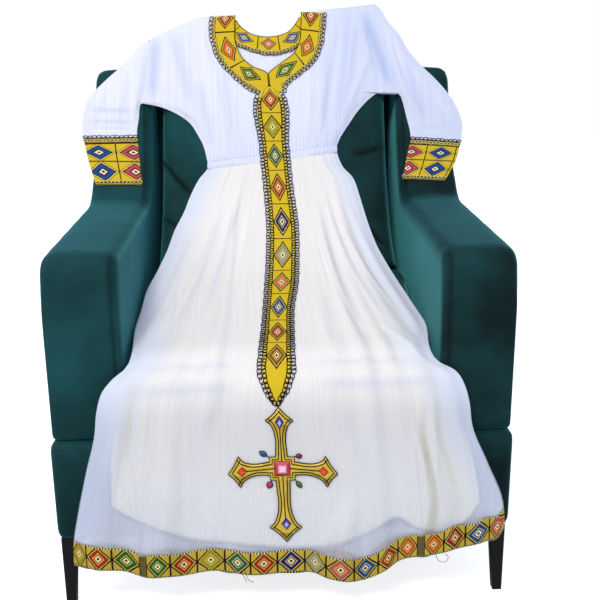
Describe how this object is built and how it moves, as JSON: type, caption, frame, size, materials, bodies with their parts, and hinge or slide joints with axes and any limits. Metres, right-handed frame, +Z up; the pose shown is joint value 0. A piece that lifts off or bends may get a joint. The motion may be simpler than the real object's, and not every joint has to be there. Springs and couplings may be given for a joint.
{
  "type": "habesha kemis dress on an armchair",
  "caption": "Long white cotton dress with woven diamond borders and an embroidered cross, laid over a green velvet wing armchair.",
  "frame": {"origin": "on the floor, at the middle of the whole object's box", "axes": "+Z up, the chair faces -Y, +X is the viewer's right when facing the dress"},
  "size_m": [0.829, 0.7927, 1.0859],
  "materials": {
    "velvet": "dark green velvet pile",
    "leg_lacquer": "black satin lacquer",
    "cotton": "white handwoven cotton gauze",
    "slip_lining": "ivory plain lining",
    "border": "gold ground with coloured embroidered diamonds"
  },
  "bodies": {
    "root": {"back": "velvet", "back_cushion": "velvet", "bodice_back": "cotton", "bodice_front": "cotton", "cross": "border", "cuff_left": "border", "cuff_right": "border", "hem_band_back": "border", "hem_band_front": "border", "leg_front_left": "leg_lacquer", "leg_front_right": "leg_lacquer", "leg_rear_left": "leg_lacquer", "leg_rear_right": "leg_lacquer", "neck_band_back": "border", "neck_band_left": "border", "neck_band_right": "border", "placket_band": "border", "plinth": "velvet", "seat_cushion": "velvet", "side_left": "velvet", "side_right": "velvet", "skirt_back": "cotton", "skirt_front": "cotton", "sleeve_left": "cotton", "sleeve_right": "cotton", "slip": "slip_lining", "waist_casing": "cotton"}
  },
  "joints": []
}
